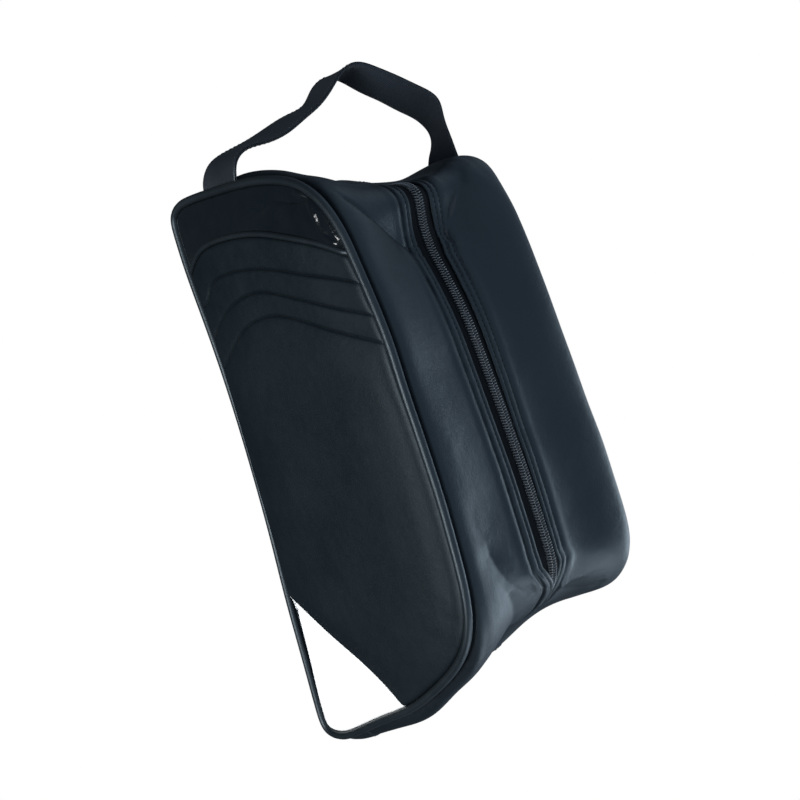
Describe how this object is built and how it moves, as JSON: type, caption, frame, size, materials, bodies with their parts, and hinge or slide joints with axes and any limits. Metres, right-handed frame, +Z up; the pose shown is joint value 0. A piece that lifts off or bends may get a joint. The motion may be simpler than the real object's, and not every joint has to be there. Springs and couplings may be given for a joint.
{
  "type": "shoe bag",
  "caption": "Soft zip-top shoe bag with shaped quilted side panels, piped edges, an all-round gusset, a coil zip over the top and a carry strap on one end.",
  "frame": {"origin": "centre of the underside of the base", "axes": "+Z up from the base to the zip, +X along the bag towards the plain end (the carry strap is on the -X end), Y across the bag"},
  "size_m": [0.4068, 0.1342, 0.1939],
  "materials": {
    "pu_matte": "soft matt, fine grain",
    "pu_patent": "high gloss, creased",
    "pu_white": "smooth satin",
    "piping": "satin",
    "webbing": "twill weave",
    "lining": "plain weave nylon",
    "foam": "open cell foam",
    "board": "matt sheet",
    "zip_tape": "herringbone weave",
    "zip_coil": "satin nylon",
    "slider_metal": "black lacquer"
  },
  "bodies": {
    "bag": {"base_board": "board", "base_gusset": "pu_matte", "base_lining": "lining", "far_corner_panel": "pu_white", "far_end_linings": "lining", "far_gusset_plain_end": "pu_matte", "far_gusset_strap_end": "pu_matte", "far_handle_anchor": "pu_matte", "far_inner_piping": "piping", "far_outer_piping": "piping", "far_patent_panel": "pu_patent", "far_quilt_foam": "foam", "far_quilted_panel": "pu_matte", "far_side_backing": "board", "far_side_lining": "lining", "far_zip_coil_ends": "zip_coil", "far_zip_tape_ends": "zip_tape", "near_corner_panel": "pu_white", "near_end_linings": "lining", "near_gusset_plain_end": "pu_matte", "near_gusset_strap_end": "pu_matte", "near_handle_anchor": "pu_matte", "near_inner_piping": "piping", "near_outer_piping": "piping", "near_patent_panel": "pu_patent", "near_quilt_foam": "foam", "near_quilted_panel": "pu_matte", "near_side_backing": "board", "near_side_lining": "lining", "near_zip_coil_ends": "zip_coil", "near_zip_tape_ends": "zip_tape", "zip_bottom_stop": "slider_metal", "zip_top_stops": "slider_metal"},
    "near_lip": {"near_zip_lip": "pu_matte", "near_lip_lining": "lining", "near_zip_tape_top": "zip_tape", "near_zip_coil_top": "zip_coil"},
    "far_lip": {"far_zip_lip": "pu_matte", "far_lip_lining": "lining", "far_zip_tape_top": "zip_tape", "far_zip_coil_top": "zip_coil"},
    "slider": {"zip_slider": "slider_metal"},
    "pull_tab": {"zip_pull_tab": "slider_metal"},
    "handle": {"handle_facing": "pu_matte", "handle_webbing": "webbing"}
  },
  "joints": [
    {"name": "near_lip_fold", "type": "hinge", "parent": "bag", "child": "near_lip", "pos_m": [-0.0801, -0.0574, 0.1854], "axis": [0.9988, 0, 0.0485], "range_deg": [0, 110]},
    {"name": "far_lip_fold", "type": "hinge", "parent": "bag", "child": "far_lip", "pos_m": [-0.0801, 0.0574, 0.1854], "axis": [-0.9988, 0, -0.0485], "range_deg": [0, 110]},
    {"name": "slider_travel", "type": "slide", "parent": "bag", "child": "slider", "axis": [0.209, 0, 0.9779], "range_m": [0, 0.03]},
    {"name": "pull_tab_swing", "type": "hinge", "parent": "slider", "child": "pull_tab", "pos_m": [-0.16642, 0, 0.0545], "axis": [0, 1, 0], "range_deg": [0, 160]},
    {"name": "handle_swing", "type": "hinge", "parent": "bag", "child": "handle", "pos_m": [-0.1973, 0, 0.072], "axis": [0, 1, 0], "range_deg": [-90, 12], "stiffness_Nm_per_rad": 0.2}
  ]
}
